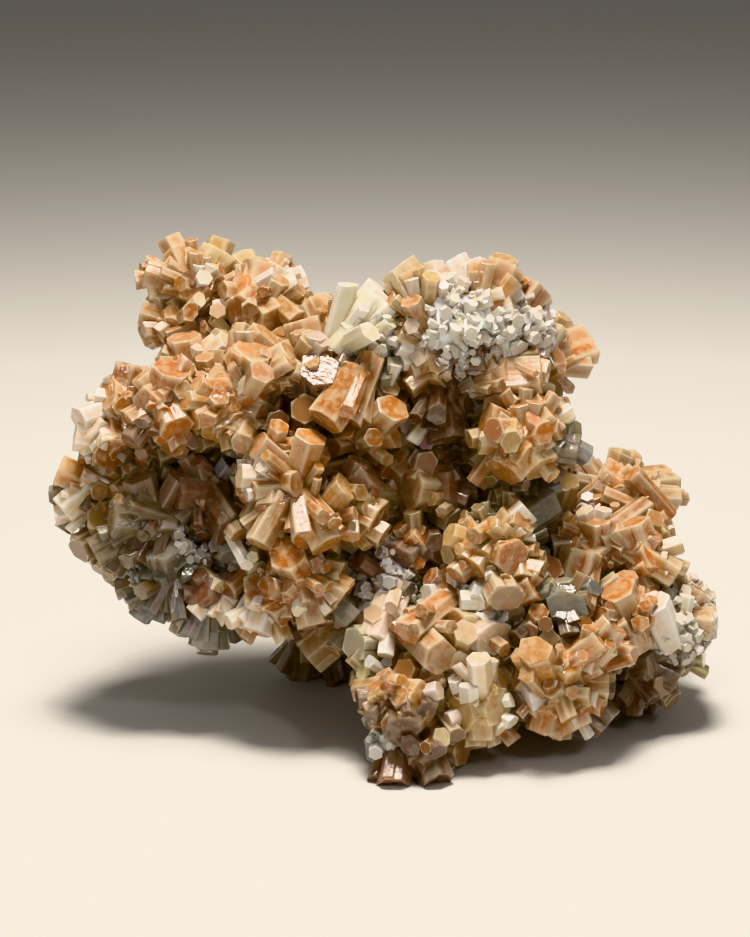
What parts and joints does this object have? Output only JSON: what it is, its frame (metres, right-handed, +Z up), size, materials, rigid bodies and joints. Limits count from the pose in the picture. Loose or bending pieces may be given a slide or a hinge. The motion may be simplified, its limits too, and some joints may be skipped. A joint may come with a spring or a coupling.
{
  "type": "aragonite crystal cluster",
  "caption": "Free-standing cluster of stubby six-sided honey-brown aragonite crystals in radiating rosettes, resting on crystal feet.",
  "frame": {"origin": "middle of the bounding box, at the level of the surface that the cluster rests on", "axes": "+Z up; +X to the right along the longest side and -Y towards the viewer, as the cluster is seen from its crystal-covered front"},
  "size_m": [0.1714, 0.1162, 0.1208],
  "materials": {
    "honey_aragonite": "crystal faces, glassy to frosted"
  },
  "bodies": {
    "root": {"aragonite_cluster": "honey_aragonite"}
  },
  "joints": []
}
